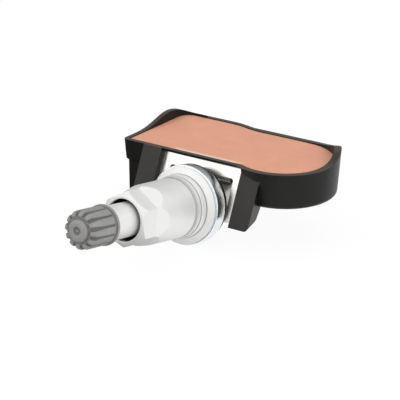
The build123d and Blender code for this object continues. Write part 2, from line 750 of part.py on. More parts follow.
cavity = housing_cavity()
tab_top, tab_bottom = build_tabs()
coil_core, coil_winding = build_coil()
nodes = {
    "circuit_board": build_board(),
    "coin_cell": build_cell(),
    "cell_tab_top": tab_top,
    "cell_tab_bottom": tab_bottom,
    "sensor_chip": build_chip(),
    "port_gasket": build_port_gasket(),
    "coil_core": coil_core,
    "coil_winding": coil_winding,
    "antenna": build_antenna(),
    "crystal": on_board(crystal_x, crystal_y, crystal_length, crystal_width, crystal_height),
    "capacitors": build_capacitors(),
}
nodes["potting"] = build_potting(cavity, list(nodes.values()))
nodes.update({
    "housing": build_housing(cavity),
    "bracket": build_bracket(),
    "valve_stem": build_stem(),
    "grommet": build_grommet(),
    "saddle_washer": build_saddle(),
    "clamp_screw": build_screw(),
    "rim_washer": build_washer(),
    "collar_nut": build_nut(),
    "core_body": build_core_body(),
    "core_gasket": build_core_gasket(),
    "core_pin": build_core_pin(),
    "core_spring": build_core_spring(),
    "plunger_seal": build_plunger_seal(),
    "valve_cap": build_cap(),
    "cap_seal": build_cap_seal(),
})

os.makedirs("parts", exist_ok=True)
for name, shape in nodes.items():
    export_step(shape, os.path.join("parts", name + ".step"))
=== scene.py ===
import math

import bmesh
import bpy
from mathutils import Matrix, Vector


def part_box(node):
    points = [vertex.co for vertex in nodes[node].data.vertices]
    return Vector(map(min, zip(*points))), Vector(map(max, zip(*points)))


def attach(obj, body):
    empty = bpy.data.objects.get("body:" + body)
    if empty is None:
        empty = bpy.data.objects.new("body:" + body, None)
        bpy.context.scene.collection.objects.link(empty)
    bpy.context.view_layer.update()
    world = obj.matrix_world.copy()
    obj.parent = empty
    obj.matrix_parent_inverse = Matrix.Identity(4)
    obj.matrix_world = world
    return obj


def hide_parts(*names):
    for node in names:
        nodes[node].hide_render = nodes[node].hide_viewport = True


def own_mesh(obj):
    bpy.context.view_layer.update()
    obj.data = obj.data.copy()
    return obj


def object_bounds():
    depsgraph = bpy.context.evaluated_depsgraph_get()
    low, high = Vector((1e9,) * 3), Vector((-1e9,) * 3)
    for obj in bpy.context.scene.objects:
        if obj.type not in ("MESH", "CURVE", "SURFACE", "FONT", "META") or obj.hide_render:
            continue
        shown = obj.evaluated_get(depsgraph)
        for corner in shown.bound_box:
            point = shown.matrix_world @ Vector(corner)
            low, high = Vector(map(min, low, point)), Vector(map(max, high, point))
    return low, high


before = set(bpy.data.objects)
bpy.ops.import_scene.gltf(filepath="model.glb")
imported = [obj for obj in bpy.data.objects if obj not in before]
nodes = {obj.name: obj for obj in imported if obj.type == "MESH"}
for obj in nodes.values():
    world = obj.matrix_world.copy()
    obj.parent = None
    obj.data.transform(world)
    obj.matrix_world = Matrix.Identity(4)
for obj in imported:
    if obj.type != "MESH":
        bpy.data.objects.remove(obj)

# The looks of a clamp-in tyre pressure sensor with a swivelling metal valve.
# Turned pieces are drawn in millimetres about Z, with Z running from the rim seat to the cap,
# and then laid along the valve's axis in the frame's metres.

cad_low, cad_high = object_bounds()
scene = bpy.context.scene

MM = 0.001
valve_tilt = math.radians(10.0)
valve_turn = math.pi / 2 - valve_tilt    # about X, from upright to along the valve
along_valve = Matrix.Rotation(valve_turn, 4, "X") @ Matrix.Scale(MM, 4)
valve_axis = Vector((0, -math.cos(valve_tilt), math.sin(valve_tilt)))

# Fineness of the meshes
turn_steps = 144
corner_steps = 6
edge_steps = 2
thread_steps = 48
drill_steps = 48
turned_crease = math.radians(16)
fine_crease = math.radians(42)   # for the cap and the spring
cad_crease = math.radians(32)
cad_flat = math.radians(0.4)     # facets that differ by less make one flat face
turned_weld = 1e-4               # in millimetres
cad_weld = 2e-6                  # in metres
touch = 1e-5                     # in metres


def reach(node):
    """Where a node starts and ends along the valve's axis, in millimetres."""
    stations = [vertex.co.dot(valve_axis) / MM for vertex in nodes[node].data.vertices]
    return min(stations), max(stations)


def girth(node):
    """A node's smallest and largest distances from the valve's axis, in millimetres."""
    radii = [vertex.co.cross(valve_axis).length / MM for vertex in nodes[node].data.vertices]
    return min(radii), max(radii)


# Sizes read from the frame
facet_allowance = 0.005          # keeps the washer's true circle inside the facets' box
washer_back, washer_front = reach("rim_washer")
washer_bore, washer_girth = girth("rim_washer")
washer_radius = washer_girth - facet_allowance
grommet_back, grommet_front = reach("grommet")
grommet_radius = girth("grommet")[1]
nut_back, nut_front = reach("collar_nut")
nut_flange_radius = girth("collar_nut")[1]
cap_base, cap_top = reach("valve_cap")
stem_mouth = reach("valve_stem")[1]
spring_seat, spring_end = reach("core_spring")

# From here on, the names that end in edge are the roundings of corners

# Threads
thread_half_foot = 0.46          # half of a ridge's width at its root, as a share of the pitch
thread_half_land = 0.09          # and at its crest
thread_sink = 0.05               # how deep a ridge is set into its root
collar_pitch = 1.0
collar_crest = 4.9
collar_root = 4.45
collar_thread_start = 3.4
collar_thread_end = 18.0
nut_thread_crest = 4.95
nut_thread_root = 5.25
cap_pitch = 0.794
mouth_crest = 3.85               # the stem's thread at its mouth, which takes the cap
mouth_root = 3.5
mouth_thread_overhang = 0.3      # behind the cap
mouth_land = 0.2
mouth_thread_start = cap_base - mouth_thread_overhang
mouth_thread_end = stem_mouth - mouth_land

# Washer
washer_edge = 0.3
washer_bore_edge = 0.15

# Grommet
grommet_play = 0.03              # round the stem
grommet_neck = 5.63
grommet_lip_edge = 0.5
grommet_seat_edge = 0.2
grommet_nose_edge = 0.3
grommet_inner_edge = 0.1

# Stem
stem_barrel = 4.15
stem_neck = 4.0
stem_neck_edge = 0.2
stem_shoulder = 5.2
stem_shoulder_back = -2.6
stem_shoulder_front = -1.6
stem_shoulder_edge = 0.15
stem_fine_edge = 0.1
collar_thread_lead = 0.3         # lengths of the slopes beside the threads
collar_thread_runout = 0.5
mouth_thread_lead = 0.4
mouth_thread_lead_edge = 0.12
stem_mouth_edge = 0.25
stem_core_bore = 2.75
stem_core_bore_end = 34.0
pivot_station = -8.5
foot_radius = 5.0
foot_width = 12.4
foot_edge = 0.3
screw_radius = 1.98
cross_hole_radius = 1.2
cross_hole_station = -4.3
drill_length = 13.0
pin_travel = 1.0

# Collar nut
nut_bore_edge = 0.15
nut_mouth = 5.12
nut_mouth_depth = 2.0
nut_mouth_slope = 0.2
nut_mouth_edge = 0.06
nut_nose_land = 0.48
nut_nose_length = 1.65
nut_nose_edge = 0.08
nut_flange_edge = 0.35
nut_flange_front_edge = 0.16
nut_cone_foot = 8.1              # the sloped face's radius at the first groove
nut_cone_edge = 0.12
nut_ring_start = 5.05
nut_ring_end = 7.05
nut_ring_radius = 7.98
nut_ring_back_edge = 0.15
nut_ring_front_edge = 0.2
nut_step_radius = 7.78           # the second, conical ring
nut_step_end = 8.75
nut_step_small = 7.42
nut_step_edge = 0.12
nut_groove_depth = 0.2
nut_groove_lead = 0.1            # how far along the valve a groove's sides run
nut_groove_fall = 0.15
nut_groove_rise = 0.2
nut_groove_edge = 0.05
# painted shade in the ring grooves, and how far it reaches from each groove
nut_groove_shade = 0.5
nut_groove_shade_reach = 0.12
nut_bore_margin = 0.2
nut_barrel_start = 9.15
nut_barrel_back = 7.47
nut_barrel_front = 7.32
nut_barrel_groove_edge = 0.03
nut_barrel_back_edge = 0.14
nut_barrel_front_edge = 0.2
nut_flats = 6
nut_flat_length = 5.2
nut_flat_end = nut_front - nut_flat_length
nut_half_flats = 6.0
nut_runout = math.radians(21)
mill_clearance = 1.0

# Valve cap
cap_body = 4.3
cap_body_front = 4.12
cap_flange = 4.87
cap_flange_length = 0.7
cap_bore = 3.9
cap_thread_root = 3.97
cap_thread_margin = 0.5          # plain bore before and after the cap's own thread
cap_ceiling = 44.0
cap_crown = 44.7
cap_shoulder_drop = 0.8
cap_shoulder = cap_crown - cap_shoulder_drop
cap_face_outer = 3.7             # the end face slopes up from here
cap_face_outer_drop = 0.3
cap_face_inner = 3.4
cap_face_inner_drop = 0.15
cap_boss = 2.72
cap_boss_sink = 0.05             # the boss's foot below the crown
cap_boss_groove = 0.2
cap_boss_rise = 0.15
cap_boss_draft = 0.12
cap_boss_shoulder = 0.4
cap_dome_inset = 0.75
cap_dome_drop = 0.07
cap_dimple = 1.0
cap_dimple_depth = 0.4
cap_dimple_slope = 0.25
cap_dimple_lip = 0.1
cap_nib = 0.35                   # the nib in the dimple
cap_nib_top = 0.2
cap_nib_shoulder = 0.22
cap_nib_depth = 0.2
cap_edge = 0.15
cap_fine_edge = 0.1
cap_sharp_edge = 0.05
cap_shoulder_edge = 0.4
cap_face_edge = 0.2
cap_boss_foot_edge = 0.12
cap_dome_edge = 0.3
cap_dimple_edge = 0.08
cap_end_shade = 0.75                 # painted shade on the end, round the boss's foot and in the dimple
cap_end_shade_depth = 0.4
cap_shade_inside = 0.05          # how far the boss's band of painted shade reaches to both sides of its edge
cap_shade_outside = 0.3
cap_nib_unshaded = 0.3
cap_shade_bands = ((cap_boss - cap_shade_inside, cap_boss + cap_shade_outside), (cap_nib_unshaded, cap_dimple))
cap_bore_margin = 0.01

# Ribs of the cap
rib_count = 12
rib_setback = 1.05               # from the cap's open end
rib_start = cap_base + rib_setback
rib_length = cap_shoulder - rib_start
rib_top = 4.62
rib_lead = 0.3                   # the rounding at a rib's ends
rib_inner = 3.05                 # where the ribs end on the cap's face
rib_share_back = 0.88            # a rib's width as a share of the pitch, at the open end
rib_share_front = 0.64
rib_share_power = 4              # how late along the rib that width falls
rib_section_power = 4            # how square a rib's section is
rib_lead_steps = 3
rib_length_steps = 8
rib_pitch_steps = 36
cap_steps = rib_pitch_steps * rib_count
cap_taper = (cap_body_front - cap_body) / rib_length

# Posts of the moulding
post_lean = math.radians(24.5)

# Potting
meniscus_width = 2.2
meniscus_height = 0.23
meniscus_reach = (-11.0, 11.5)   # from where to where along the front lip
meniscus_fade = 4.0

# Edges broken on the moulding and the pressing
moulded_edge = 0.15
pressed_edge = 0.12

# Stage and surround: ramp stops are (position, grey level) pairs
ambient = 0.5
floor_size = 3.0
floor_colour = (0.9, 0.9, 0.9, 1)
floor_shaded = (0.1, 0.1, 0.1)
floor_glow = 1.03
floor_glow_share = 0.9           # the rest shows the shadow
floor_shade_slope = (-8, -8, 0)  # how mirrors see the floor darken, per metre
floor_shade_stops = ((0.0, 0), (0.2, 1))
grey_wall = (-0.55, 0.83, 0)     # the directions in which mirrors find a grey wall and a white one
grey_wall_stops = ((0.45, 1.0), (0.75, 0.36), (1.0, 0.28))
white_wall = (-0.54, -0.77, 0.34)
white_wall_stops = ((0.7, 0), (0.95, 1))
white_wall_gain = 0.35
white_rays = ("Is Camera Ray", "Is Glossy Ray", "Is Transmission Ray")

# Camera, fitted to the photograph's view
camera_lens = 138.764
camera_sensor = 36.0
camera_place = (0.20603283, -0.29121429, 0.14230936)
camera_right = Vector((0.82009103, 0.57223018, -0.00182497))
camera_up = Vector((-0.20952899, 0.30325091, 0.92958942))

# Colour sockets of a Mix node
mix_first = 6
mix_second = 7
mix_result = 2


# Shaders: sockets as Python values, and one method for every other node

class Wire:
    """A node's output socket that takes part in Python expressions."""

    def __init__(self, shop, socket):
        self.shop = shop
        self.socket = socket

    def maths(self, operation, first, second):
        return self.shop.node("ShaderNodeMath", {"operation": operation}, {0: first, 1: second})

    def __add__(self, other):
        return self.maths("ADD", self, other)

    def __radd__(self, other):
        return self.maths("ADD", other, self)

    def __rsub__(self, other):
        return self.maths("SUBTRACT", other, self)

    def __mul__(self, other):
        return self.maths("MULTIPLY", self, other)

    def __rmul__(self, other):
        return self.maths("MULTIPLY", other, self)

    def __pow__(self, other):
        return self.maths("POWER", self, other)


class Shop:
    """Builds one node tree."""

    def __init__(self, tree):
        self.tree = tree
        tree.nodes.clear()

    def node(self, kind, settings=None, sockets=None, output=0):
        """Adds a node, sets it up, feeds its sockets with values or wires and returns one output."""
        made = self.tree.nodes.new(kind)
        for name, value in (settings or {}).items():
            if name == "stops":
                self.set_stops(made.color_ramp, value)
            else:
                setattr(made, name, value)
        for name, value in (sockets or {}).items():
            if isinstance(value, Wire):
                self.tree.links.new(value.socket, made.inputs[name])
            else:
                made.inputs[name].default_value = value
        return Wire(self, made.outputs[output]) if made.outputs else None

    def set_stops(self, ramp, stops):
        """Gives a ramp its stops: (position, grey level) pairs."""
        while len(ramp.elements) < len(stops):
            ramp.elements.new(1.0)
        for element, (position, level) in zip(ramp.elements, stops):
            element.position = position
            element.color = (level, level, level, 1)

    def place(self):
        """The piece's own coordinates, in metres."""
        return self.node("ShaderNodeTexCoord", output="Object")

    def valve_place(self):
        """Coordinates turned so that Z runs along the valve."""
        return self.node("ShaderNodeMapping", {"vector_type": "TEXTURE"}, {
            "Vector": self.place(), "Rotation": (valve_turn, 0, 0)})

    def painted(self, name):
        """A value painted on the piece's vertices."""
        return self.node("ShaderNodeAttribute", {"attribute_name": name}, output="Fac")

    def ray(self, kind):
        """One for rays of this kind."""
        return self.node("ShaderNodeLightPath", output=kind)

    def noise(self, size, detail=2.0, roughness=0.5, where=None):
        """Noise from 0 to 1 whose grains are about this many millimetres across."""
        return self.node("ShaderNodeTexNoise", {}, {
            "Vector": where or self.place(), "Scale": 1 / (size * MM),
            "Detail": detail, "Roughness": roughness})

    def ramp(self, value, *stops):
        """A grey level that follows a value."""
        return self.node("ShaderNodeValToRGB", {"stops": stops}, {"Fac": value})

    def between(self, first, second, amount):
        """A colour mixed between two, each a wire or (red, green, blue)."""
        sockets = {"Factor": amount}
        for socket, colour in ((mix_first, first), (mix_second, second)):
            sockets[socket] = colour if isinstance(colour, Wire) else (*colour, 1)
        return self.node("ShaderNodeMix", {"data_type": "RGBA"}, sockets, mix_result)

    def bump(self, height, depth, strength=1.0, under=None):
        """A bump whose full height is this many millimetres."""
        sockets = {"Height": height, "Distance": depth * MM, "Strength": strength}
        if under:
            sockets["Normal"] = under
        return self.node("ShaderNodeBump", {}, sockets)

    def towards(self, vector, direction):
        """How far a vector reaches in a direction."""
        return self.node("ShaderNodeVectorMath", {"operation": "DOT_PRODUCT"}, {
            0: vector, 1: direction}, output="Value")

    def facing(self, direction):
        """One where the surface faces this way, less where it turns from it."""
        return self.towards(self.node("ShaderNodeTexCoord", output="Normal"), direction)


def new_material(name):
    """An empty material and the shop for its nodes."""
    material = bpy.data.materials.new(name)
    material.use_nodes = True
    return material, Shop(material.node_tree)


def finish(paint, constants=None):
    """A material: paint returns what varies over the surface, constants are set on the shader."""
    material, shop = new_material(paint.__name__)
    surface = shop.node("ShaderNodeBsdfPrincipled", {}, {**(constants or {}), **paint(shop)})
    shop.node("ShaderNodeOutputMaterial", {}, {"Surface": surface})
    return material


def skin(colour, roughness, normal):
    """What varies over a surface, by the shader's sockets."""
    return {"Base Color": colour, "Roughness": roughness, "Normal": normal}


def moulded_black(shop):
    """Glass-filled moulding compound: near black, coarser and painted lighter grey on the posts' fronts for
    the light that falls on them, and lighter and browner on faces that point up.
    """
    cloud = shop.noise(9.0, 3.0)
    grain = shop.noise(0.16, 4.0, 0.65)
    front = shop.facing((0, -math.cos(post_lean), math.sin(post_lean)))
    # painted light: the posts' fronts a lighter, mottled grey where the light falls on them
    lit_fronts = shop.ramp(front, (0.97, 0), (0.99, 1)) * (0.3 + 0.7 * shop.noise(0.5, 3.0, 0.7))
    # lighter and browner on faces that point up
    upward_tint = shop.ramp(shop.facing((0, 0, 1)), (0.93, 0), (0.98, 1)) * (0.4 + 0.6 * grain)
    smooth = shop.between((0.007, 0.0066, 0.0062), (0.013, 0.0122, 0.0115), cloud)
    greyed = shop.between(smooth, (0.050, 0.046, 0.042), lit_fronts)
    colour = shop.between(greyed, (0.10, 0.086, 0.072), upward_tint)
    return skin(colour, 0.32 + 0.14 * grain + 0.1 * lit_fronts, shop.bump(grain, 0.018, 0.5))


def poured_resin(shop):
    """Salmon potting resin: matte, faintly mottled, with a painted highlight where it climbs the front lip.
    """
    clouds = shop.noise(5.5, 4.0, 0.6)
    specks = shop.noise(0.5, 3.0)
    ripple = shop.noise(2.4, 2.0)
    edge = shop.painted("meniscus")
    warm = shop.between((0.82, 0.39, 0.253), (0.74, 0.35, 0.23), shop.ramp(clouds, (0.3, 0), (0.7, 1)))
    speckled = shop.between(warm, (0.82, 0.45, 0.33), 0.25 * specks)
    # painted highlight along the front lip, where the resin climbs
    colour = shop.between(speckled, (0.97, 0.84, 0.76), 0.95 * edge ** 1.4)
    return skin(colour, 0.46 + 0.16 * specks, shop.bump(ripple, 0.05, 0.5))


def satin_aluminium(shop):
    """Turned and blasted aluminium: near-white satin with faint lathe rings, with painted shade inside a
    bore and in the ring grooves.
    """
    rings = shop.node(
        "ShaderNodeTexWave", {"wave_type": "BANDS", "bands_direction": "Z", "wave_profile": "SIN"},
        {"Vector": shop.valve_place(), "Scale": 1 / (1.1 * MM), "Distortion": 0.8,
         "Detail": 3.0, "Detail Scale": 2.0})
    blast = shop.noise(0.12, 3.0)
    cloud = shop.noise(4.0, 3.0)
    bright = shop.between((0.85, 0.848, 0.838), (0.91, 0.908, 0.898), cloud)
    # painted shade: near black inside the nut's bore, darker in its ring grooves
    colour = shop.between(bright, (0.03, 0.03, 0.03), shop.painted("bore"))
    lathe = shop.bump(rings, 0.004, 0.4)
    return skin(colour, 0.44 + 0.08 * cloud + 0.06 * blast, shop.bump(blast, 0.012, 0.5, lathe))


def bright_nickel(shop):
    """Nickel over a pressed steel strip: bright, with painted warm brown reflections in broad patches, and
    rolling marks.
    """
    stretch = shop.node("ShaderNodeMapping", {}, {"Vector": shop.place(), "Scale": (0.12, 1, 1)})
    rolling = shop.noise(0.35, 4.0, 0.6, stretch)
    # painted reflection: broad warm brown patches
    warm_reflection = shop.ramp(shop.noise(6.0, 3.0), (0.4, 0), (0.75, 1))
    colour = shop.between((0.96, 0.94, 0.90), (0.87, 0.82, 0.74), warm_reflection)
    return skin(colour, 0.17 + 0.12 * rolling, shop.bump(rolling, 0.006, 0.4))


def mirror_chrome(shop):
    """Chrome plate with the small pits and specks of a barrel-plated washer."""
    grain = shop.noise(0.3, 4.0, 0.65)
    specks = shop.ramp(grain, (0.56, 0), (0.66, 1))
    haze = shop.noise(2.2, 3.0)
    colour = shop.between((0.86, 0.895, 0.93), (0.40, 0.42, 0.44), 0.5 * specks)
    return skin(colour, 0.06 + 0.08 * haze + 0.15 * specks, shop.bump(grain, 0.05, 0.8))


def cap_plastic(shop):
    """Grey cap moulding with a silky sheen and a fine grain, with painted shade in its cavities and between
    its ribs.
    """
    grain = shop.noise(0.14, 3.0)
    cloud = shop.noise(2.5, 3.0)
    cavity = shop.painted("cavity")
    silky = shop.between((0.25, 0.247, 0.24), (0.35, 0.347, 0.34), cloud)
    # painted shade in the cavities and between the ribs
    colour = shop.between(silky, (0.035, 0.035, 0.034), 0.6 * cavity)
    return skin(colour, 0.3 + 0.15 * grain + 0.2 * cavity, shop.bump(grain, 0.015, 0.5))


def seal_rubber(shop):
    """Black seal rubber with a dusty bloom."""
    bloom = shop.ramp(shop.noise(1.6, 4.0, 0.6), (0.4, 0), (0.7, 1))
    grain = shop.noise(0.1, 3.0)
    colour = shop.between((0.012, 0.012, 0.012), (0.03, 0.03, 0.029), bloom)
    return skin(colour, 0.6 + 0.2 * grain, shop.bump(grain, 0.02, 0.5))


def plated_steel(shop):
    """Zinc-plated screw steel."""
    streak = shop.noise(0.4, 4.0, 0.6)
    cloud = shop.noise(2.0, 3.0)
    colour = shop.between((0.60, 0.60, 0.61), (0.44, 0.44, 0.45), cloud)
    return skin(colour, 0.24 + 0.16 * streak, shop.bump(streak, 0.008, 0.5))


def turned_brass(shop):
    """Turned brass of the valve core."""
    cloud = shop.noise(1.5, 3.0)
    colour = shop.between((0.80, 0.58, 0.25), (0.68, 0.46, 0.18), cloud)
    return skin(colour, 0.22 + 0.12 * cloud, shop.bump(shop.noise(0.1), 0.006, 0.5))


def cell_can(shop):
    """Drawn stainless can of the coin cell."""
    brushed = shop.noise(0.3, 4.0, 0.6)
    colour = shop.between((0.66, 0.66, 0.65), (0.58, 0.58, 0.57), brushed)
    return skin(colour, 0.26 + 0.12 * brushed, shop.bump(brushed, 0.005, 0.5))


def board_mask(shop):
    """Green solder mask over glass weave."""
    weave = shop.node("ShaderNodeTexChecker", {}, {
        "Vector": shop.place(), "Scale": 1 / (0.5 * MM)}, output="Fac")
    cloud = shop.noise(3.0, 3.0)
    colour = shop.between((0.010, 0.090, 0.035), (0.018, 0.125, 0.05), cloud)
    return skin(colour, 0.28 + 0.05 * weave, shop.bump(weave, 0.01, 0.3))


def chip_mould(shop):
    """Matte black chip moulding."""
    grain = shop.noise(0.12, 3.0)
    colour = shop.between((0.012, 0.012, 0.013), (0.026, 0.026, 0.027), grain)
    return skin(colour, 0.5 + 0.2 * grain, shop.bump(grain, 0.01, 0.5))


def pressed_ferrite(shop):
    """Dark grey sintered ferrite."""
    grain = shop.noise(0.2, 4.0)
    colour = shop.between((0.03, 0.03, 0.032), (0.065, 0.065, 0.068), grain)
    return skin(colour, 0.55 + 0.2 * grain, shop.bump(grain, 0.02, 0.5))


def wound_copper(shop):
    """Enamelled copper, wound in fine turns across the coil."""
    turns = shop.node("ShaderNodeTexWave", {"wave_type": "BANDS", "bands_direction": "X"}, {
        "Vector": shop.place(), "Scale": 1 / (0.9 * MM), "Distortion": 0.3})
    colour = shop.between((0.42, 0.15, 0.055), (0.66, 0.27, 0.11), turns)
    return skin(colour, 0.25 + 0.15 * turns, shop.bump(turns, 0.05, 0.8))


def fired_ceramic(shop):
    """Tan ceramic of the small board parts."""
    grain = shop.noise(0.2, 3.0)
    colour = shop.between((0.42, 0.31, 0.20), (0.52, 0.40, 0.27), grain)
    return skin(colour, 0.4 + 0.2 * grain, shop.bump(grain, 0.01, 0.5))


metal = {"Metallic": 1.0}
finishes = {
    "black_plastic": finish(moulded_black, {"Specular IOR Level": 0.22}),
    "potting": finish(poured_resin, {"Specular IOR Level": 0.35}),
    "aluminium": finish(satin_aluminium, {"Metallic": 0.5}),
    "nickel": finish(bright_nickel, {"Metallic": 0.85}),
    "chrome": finish(mirror_chrome, metal),
    "grey_plastic": finish(cap_plastic),
    "rubber": finish(seal_rubber, {"Specular IOR Level": 0.3}),
    "screw_steel": finish(plated_steel, metal),
    "brass": finish(turned_brass, metal),
    "cell_steel": finish(cell_can, metal),
    "board": finish(board_mask),
    "chip": finish(chip_mould),
    "ferrite": finish(pressed_ferrite),
    "copper": finish(wound_copper, metal),
    "ceramic": finish(fired_ceramic),
}


# Mesh work

def meshed(bm, name):
    """Makes a bmesh a mesh."""
    mesh = bpy.data.meshes.new(name)
    bm.to_mesh(mesh)
    bm.free()
    return mesh


def add_object(name, data):
    """Puts a new object in the scene."""
    made = bpy.data.objects.new(name, data)
    scene.collection.objects.link(made)
    return made


def turned(corners, steps=turn_steps):
    """A solid turned about Z from (radius, height) corners. A third value rounds that corner."""
    bm = bmesh.new()
    ring = [bm.verts.new((corner[0], 0, corner[1])) for corner in corners]
    for start, end in zip(ring, ring[1:] + ring[:1]):
        bm.edges.new((start, end))
    for vertex, corner in zip(ring, corners):
        if len(corner) > 2:
            bmesh.ops.bevel(bm, geom=[vertex], offset=corner[2], offset_type="OFFSET", affect="VERTICES",
                            segments=corner_steps, profile=0.5, material=-1)
    bmesh.ops.spin(bm, geom=bm.verts[:] + bm.edges[:], cent=(0, 0, 0), axis=(0, 0, 1),
                   angle=2 * math.pi, steps=steps, use_merge=True)
    bmesh.ops.remove_doubles(bm, verts=bm.verts[:], dist=turned_weld)
    bmesh.ops.recalc_face_normals(bm, faces=bm.faces[:])
    return bm


def thread(bm, root, crest, start, end, pitch):
    """Adds a screw thread's ridge to a turned solid, outside or inside it."""
    foot = root - math.copysign(thread_sink, crest - root)
    half_foot = thread_half_foot * pitch
    half_land = thread_half_land * pitch
    turns = math.floor((end - start) / pitch - 1)
    tooth = [(foot, -half_foot), (crest, -half_land), (crest, half_land), (foot, half_foot)]
    ridge = bmesh.new()
    ring = [ridge.verts.new((radius, 0, start + pitch / 2 + height)) for radius, height in tooth]
    edges = [ridge.edges.new(pair) for pair in zip(ring, ring[1:] + ring[:1])]
    bmesh.ops.edgeloop_fill(ridge, edges=edges)
    wound = bmesh.ops.spin(ridge, geom=ring + edges, cent=(0, 0, 0), axis=(0, 0, 1),
                           angle=2 * math.pi * turns, steps=thread_steps * turns,
                           dvec=(0, 0, pitch / thread_steps))
    last_edges = [item for item in wound["geom_last"] if isinstance(item, bmesh.types.BMEdge)]
    bmesh.ops.edgeloop_fill(ridge, edges=last_edges)
    bmesh.ops.recalc_face_normals(ridge, faces=ridge.faces[:])
    blank = meshed(ridge, "ridge")
    bm.from_mesh(blank)
    bpy.data.meshes.remove(blank)


def across(station):
    """The place of a bar that crosses the valve's axis at a station."""
    return Matrix.Translation((0, 0, station)) @ Matrix.Rotation(math.pi / 2, 4, "Y")


def bar(radius, length, place, steps):
    """A round bar at a place, along that place's Z."""
    bm = bmesh.new()
    bmesh.ops.create_cone(bm, cap_ends=True, segments=steps, radius1=radius, radius2=radius,
                          depth=length, matrix=place)
    return bm


def combine(bm, tool, operation="DIFFERENCE"):
    """Cuts one solid out of another, or joins it on, and returns the result."""
    pair = [add_object("blank", meshed(source, "blank")) for source in (bm, tool)]
    work, cutter = pair
    boolean = work.modifiers.new("cut", "BOOLEAN")
    boolean.operation = operation
    boolean.object = cutter
    boolean.solver = "MANIFOLD"
    shaped = bpy.data.meshes.new_from_object(work.evaluated_get(bpy.context.evaluated_depsgraph_get()))
    result = bmesh.new()
    result.from_mesh(shaped)
    bpy.data.meshes.remove(shaped)
    for blank in pair:
        bpy.data.meshes.remove(blank.data)
    return result


def soften(bm, width):
    """Rounds the sharp edges."""
    sharp = [edge for edge in bm.edges if len(edge.link_faces) == 2 and edge.calc_face_angle() > cad_crease]
    bmesh.ops.bevel(bm, geom=sharp, offset=width, offset_type="OFFSET", affect="EDGES",
                    segments=edge_steps, profile=0.5, material=-1, clamp_overlap=True)


def cad_copy(node):
    """A merged copy of a CAD node's mesh, with its flat faces whole."""
    bm = bmesh.new()
    bm.from_mesh(nodes[node].data)
    bmesh.ops.remove_doubles(bm, verts=bm.verts[:], dist=cad_weld)
    bmesh.ops.dissolve_limit(bm, angle_limit=cad_flat, verts=bm.verts[:], edges=bm.edges[:])
    return bm


def piece(bm, name, body, slot, replaced, crease):
    """Makes a bmesh a finished piece that rides a body and stands for its CAD node."""
    mesh = meshed(bm, name)
    mesh.polygons.foreach_set("use_smooth", [True] * len(mesh.polygons))
    mesh.set_sharp_from_angle(angle=crease)
    mesh.materials.append(finishes[slot])
    made = add_object(name, mesh)
    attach(made, body)
    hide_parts(replaced)
    return made


def valve_piece(bm, name, body, slot, replaced, crease=turned_crease):
    """Lays a solid drawn about Z along the valve's axis and makes it a finished piece."""
    bmesh.ops.transform(bm, matrix=along_valve, verts=bm.verts[:])
    piece(bm, name, body, slot, replaced, crease)


def body_piece(bm, name, slot, replaced):
    """Makes a solid a piece of the sensor body, whose large faces stay flat beside their edges."""
    made = piece(bm, name, "housing", slot, replaced, cad_crease)
    made.modifiers.new("flat", "WEIGHTED_NORMAL").keep_sharp = True


# Pieces of the valve

def make_washer():
    """The chromed thrust washer with its rolled edges."""
    bm = turned([
        (washer_bore, washer_back, washer_bore_edge), (washer_radius, washer_back, washer_edge),
        (washer_radius, washer_front, washer_edge), (washer_bore, washer_front, washer_bore_edge)])
    valve_piece(bm, "thrust_washer", "rim_washer", "chrome", "rim_washer")


def make_grommet():
    """The rubber seal with a rounded lip and a neck for the rim's hole."""
    bore = collar_crest + grommet_play
    hollow = stem_shoulder + grommet_play
    bm = turned([
        (bore, stem_shoulder_front), (hollow, stem_shoulder_front),
        (hollow, grommet_back, grommet_inner_edge),
        (grommet_radius, grommet_back, grommet_lip_edge), (grommet_radius, 0, grommet_seat_edge),
        (grommet_neck, 0, grommet_inner_edge), (grommet_neck, grommet_front, grommet_nose_edge),
        (bore, grommet_front)])
    valve_piece(bm, "rim_grommet", "stem", "rubber", "grommet")


def nut_blank():
    """The nut as it leaves the lathe: flange, sloped face, two rings between grooves, and barrel."""
    thread_end = nut_front - nut_mouth_depth
    flange = [
        (nut_thread_root, nut_back, nut_bore_edge), (nut_flange_radius, nut_back, nut_flange_edge),
        (nut_flange_radius, nut_back + nut_flange_edge, nut_flange_front_edge),
        (nut_cone_foot, nut_ring_start - nut_groove_lead, nut_cone_edge)]
    rings = [
        (nut_ring_radius - nut_groove_depth, nut_ring_start, nut_groove_edge),
        (nut_ring_radius, nut_ring_start + nut_groove_rise, nut_ring_back_edge),
        (nut_ring_radius, nut_ring_end - nut_groove_fall, nut_ring_front_edge),
        (nut_step_radius - nut_groove_depth, nut_ring_end, nut_groove_edge),
        (nut_step_radius, nut_ring_end + nut_groove_rise, nut_step_edge),
        (nut_step_small, nut_step_end, nut_groove_edge)]
    barrel = [
        (nut_barrel_back - nut_groove_depth, nut_step_end + nut_groove_lead, nut_barrel_groove_edge),
        (nut_barrel_back, nut_barrel_start, nut_barrel_back_edge), (nut_barrel_front, nut_flat_end),
        (nut_barrel_front, nut_front - nut_nose_length, nut_barrel_front_edge),
        (nut_mouth + nut_nose_land, nut_front, nut_nose_edge)]
    mouth = [
        (nut_mouth, nut_front, nut_mouth_edge), (nut_mouth, thread_end + nut_mouth_slope),
        (nut_thread_root, thread_end)]
    return turned(flange + rings + barrel + mouth)


